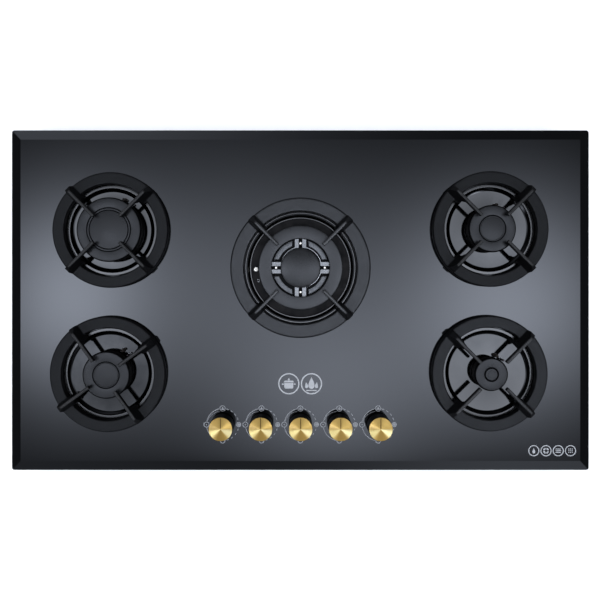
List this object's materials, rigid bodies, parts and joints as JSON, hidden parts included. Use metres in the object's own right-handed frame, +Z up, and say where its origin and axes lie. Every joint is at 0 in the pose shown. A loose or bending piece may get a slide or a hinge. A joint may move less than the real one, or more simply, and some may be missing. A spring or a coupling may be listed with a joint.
{
  "type": "gas cooktop",
  "caption": "Built-in gas cooktop: black bevelled glass plate, round cast pan supports, ring burners with lift-off caps, push-and-turn knobs, sheet steel tray below.",
  "frame": {"origin": "middle of the glass outline, at the underside of the bottom tray", "axes": "+X to the user's right, +Y to the rear, +Z up; the knobs are at the front (-Y)"},
  "size_m": [0.9, 0.53, 0.1],
  "materials": {
    "black_glass": "black tempered glass, polished",
    "tray_steel": "galvanised sheet",
    "foam": "closed-cell foam",
    "dish_steel": "satin",
    "cast_aluminium": "die-cast",
    "fitting_brass": "machined",
    "white_ceramic": "unglazed",
    "copper": "drawn copper",
    "rail_steel": "drawn tube",
    "tube_aluminium": "drawn tube",
    "black_plastic": "moulded",
    "lead_silicone": "silicone sleeve",
    "zinc_steel": "zinc plated",
    "black_silicone": "matt",
    "knob_black": "satin black",
    "knob_brass": "spun",
    "spindle_steel": "turned",
    "cast_iron": "matt black enamel",
    "crown_dark": "black coated",
    "crown_aluminium": "die-cast, sandblasted",
    "cap_enamel": "black enamel"
  },
  "bodies": {
    "base": {"glass_top": "black_glass", "bottom_tray": "tray_steel", "worktop_seal": "foam", "support_rails": "tray_steel", "spill_dishes": "dish_steel", "burner_cups": "cast_aluminium", "gas_injectors": "fitting_brass", "spark_electrodes": "white_ceramic", "thermocouples": "copper", "gas_taps": "fitting_brass", "gas_manifold": "rail_steel", "gas_inlet_elbow": "fitting_brass", "burner_gas_tubes": "tube_aluminium", "ignition_generator": "black_plastic", "ignition_leads": "lead_silicone", "cable_gland": "black_plastic", "fixing_clamps": "zinc_steel", "fixing_screws": "zinc_steel", "knob_seals": "black_silicone"},
    "pusher_far_left": {"push_rod_far_left": "spindle_steel"},
    "rotary_far_left": {"knob_far_left": "knob_black", "knob_face_far_left": "knob_brass", "tap_stem_far_left": "spindle_steel"},
    "pusher_left": {"push_rod_left": "spindle_steel"},
    "rotary_left": {"knob_left": "knob_black", "knob_face_left": "knob_brass", "tap_stem_left": "spindle_steel"},
    "pusher_middle": {"push_rod_middle": "spindle_steel"},
    "rotary_middle": {"knob_middle": "knob_black", "knob_face_middle": "knob_brass", "tap_stem_middle": "spindle_steel"},
    "pusher_right": {"push_rod_right": "spindle_steel"},
    "rotary_right": {"knob_right": "knob_black", "knob_face_right": "knob_brass", "tap_stem_right": "spindle_steel"},
    "pusher_far_right": {"push_rod_far_right": "spindle_steel"},
    "rotary_far_right": {"knob_far_right": "knob_black", "knob_face_far_right": "knob_brass", "tap_stem_far_right": "spindle_steel"},
    "support_left_rear": {"pan_support_left_rear": "cast_iron", "support_feet_left_rear": "black_silicone"},
    "crown_left_rear": {"flame_ring_left_rear": "crown_dark"},
    "cap_left_rear": {"burner_cap_left_rear": "cap_enamel"},
    "support_left_front": {"pan_support_left_front": "cast_iron", "support_feet_left_front": "black_silicone"},
    "crown_left_front": {"flame_ring_left_front": "crown_dark"},
    "cap_left_front": {"burner_cap_left_front": "cap_enamel"},
    "support_centre": {"pan_support_centre": "cast_iron", "support_feet_centre": "black_silicone"},
    "crown_centre": {"flame_ring_centre": "crown_aluminium"},
    "cap_centre_outer": {"burner_cap_centre_outer": "cap_enamel"},
    "cap_centre_inner": {"burner_cap_centre_inner": "cap_enamel"},
    "support_right_rear": {"pan_support_right_rear": "cast_iron", "support_feet_right_rear": "black_silicone"},
    "crown_right_rear": {"flame_ring_right_rear": "crown_dark"},
    "cap_right_rear": {"burner_cap_right_rear": "cap_enamel"},
    "support_right_front": {"pan_support_right_front": "cast_iron", "support_feet_right_front": "black_silicone"},
    "crown_right_front": {"flame_ring_right_front": "crown_dark"},
    "cap_right_front": {"burner_cap_right_front": "cap_enamel"}
  },
  "joints": [
    {"name": "push_far_left", "type": "slide", "parent": "base", "child": "pusher_far_left", "axis": [0, 0, -1], "range_m": [0, 0.003], "stiffness_N_per_m": 400, "springref_m": -0.005},
    {"name": "turn_far_left", "type": "hinge", "parent": "pusher_far_left", "child": "rotary_far_left", "pos_m": [-0.1208, -0.193, 0.08], "axis": [0, 0, 1], "range_deg": [0, 210]},
    {"name": "push_left", "type": "slide", "parent": "base", "child": "pusher_left", "axis": [0, 0, -1], "range_m": [0, 0.003], "stiffness_N_per_m": 400, "springref_m": -0.005},
    {"name": "turn_left", "type": "hinge", "parent": "pusher_left", "child": "rotary_left", "pos_m": [-0.0604, -0.193, 0.08], "axis": [0, 0, 1], "range_deg": [0, 210]},
    {"name": "push_middle", "type": "slide", "parent": "base", "child": "pusher_middle", "axis": [0, 0, -1], "range_m": [0, 0.003], "stiffness_N_per_m": 400, "springref_m": -0.005},
    {"name": "turn_middle", "type": "hinge", "parent": "pusher_middle", "child": "rotary_middle", "pos_m": [0, -0.193, 0.08], "axis": [0, 0, 1], "range_deg": [0, 210]},
    {"name": "push_right", "type": "slide", "parent": "base", "child": "pusher_right", "axis": [0, 0, -1], "range_m": [0, 0.003], "stiffness_N_per_m": 400, "springref_m": -0.005},
    {"name": "turn_right", "type": "hinge", "parent": "pusher_right", "child": "rotary_right", "pos_m": [0.0604, -0.193, 0.08], "axis": [0, 0, 1], "range_deg": [0, 210]},
    {"name": "push_far_right", "type": "slide", "parent": "base", "child": "pusher_far_right", "axis": [0, 0, -1], "range_m": [0, 0.003], "stiffness_N_per_m": 400, "springref_m": -0.005},
    {"name": "turn_far_right", "type": "hinge", "parent": "pusher_far_right", "child": "rotary_far_right", "pos_m": [0.1208, -0.193, 0.08], "axis": [0, 0, 1], "range_deg": [0, 210]},
    {"name": "lift_support_left_rear", "type": "slide", "parent": "base", "child": "support_left_rear", "axis": [0, 0, 1], "range_m": [0, 0.12]},
    {"name": "lift_crown_left_rear", "type": "slide", "parent": "base", "child": "crown_left_rear", "axis": [0, 0, 1], "range_m": [0, 0.04]},
    {"name": "lift_cap_left_rear", "type": "slide", "parent": "crown_left_rear", "child": "cap_left_rear", "axis": [0, 0, 1], "range_m": [0, 0.04]},
    {"name": "lift_support_left_front", "type": "slide", "parent": "base", "child": "support_left_front", "axis": [0, 0, 1], "range_m": [0, 0.12]},
    {"name": "lift_crown_left_front", "type": "slide", "parent": "base", "child": "crown_left_front", "axis": [0, 0, 1], "range_m": [0, 0.04]},
    {"name": "lift_cap_left_front", "type": "slide", "parent": "crown_left_front", "child": "cap_left_front", "axis": [0, 0, 1], "range_m": [0, 0.04]},
    {"name": "lift_support_centre", "type": "slide", "parent": "base", "child": "support_centre", "axis": [0, 0, 1], "range_m": [0, 0.12]},
    {"name": "lift_crown_centre", "type": "slide", "parent": "base", "child": "crown_centre", "axis": [0, 0, 1], "range_m": [0, 0.04]},
    {"name": "lift_cap_centre_outer", "type": "slide", "parent": "crown_centre", "child": "cap_centre_outer", "axis": [0, 0, 1], "range_m": [0, 0.04]},
    {"name": "lift_cap_centre_inner", "type": "slide", "parent": "crown_centre", "child": "cap_centre_inner", "axis": [0, 0, 1], "range_m": [0, 0.04]},
    {"name": "lift_support_right_rear", "type": "slide", "parent": "base", "child": "support_right_rear", "axis": [0, 0, 1], "range_m": [0, 0.12]},
    {"name": "lift_crown_right_rear", "type": "slide", "parent": "base", "child": "crown_right_rear", "axis": [0, 0, 1], "range_m": [0, 0.04]},
    {"name": "lift_cap_right_rear", "type": "slide", "parent": "crown_right_rear", "child": "cap_right_rear", "axis": [0, 0, 1], "range_m": [0, 0.04]},
    {"name": "lift_support_right_front", "type": "slide", "parent": "base", "child": "support_right_front", "axis": [0, 0, 1], "range_m": [0, 0.12]},
    {"name": "lift_crown_right_front", "type": "slide", "parent": "base", "child": "crown_right_front", "axis": [0, 0, 1], "range_m": [0, 0.04]},
    {"name": "lift_cap_right_front", "type": "slide", "parent": "crown_right_front", "child": "cap_right_front", "axis": [0, 0, 1], "range_m": [0, 0.04]}
  ],
  "couplings": [
    {"joint": "lift_crown_left_rear", "follows": "lift_support_left_rear", "ratio": 0.3},
    {"joint": "lift_cap_left_rear", "follows": "lift_support_left_rear", "ratio": 0.3},
    {"joint": "lift_crown_left_front", "follows": "lift_support_left_front", "ratio": 0.3},
    {"joint": "lift_cap_left_front", "follows": "lift_support_left_front", "ratio": 0.3},
    {"joint": "lift_crown_centre", "follows": "lift_support_centre", "ratio": 0.3},
    {"joint": "lift_cap_centre_outer", "follows": "lift_support_centre", "ratio": 0.3},
    {"joint": "lift_cap_centre_inner", "follows": "lift_support_centre", "ratio": 0.3},
    {"joint": "lift_crown_right_rear", "follows": "lift_support_right_rear", "ratio": 0.3},
    {"joint": "lift_cap_right_rear", "follows": "lift_support_right_rear", "ratio": 0.3},
    {"joint": "lift_crown_right_front", "follows": "lift_support_right_front", "ratio": 0.3},
    {"joint": "lift_cap_right_front", "follows": "lift_support_right_front", "ratio": 0.3}
  ]
}
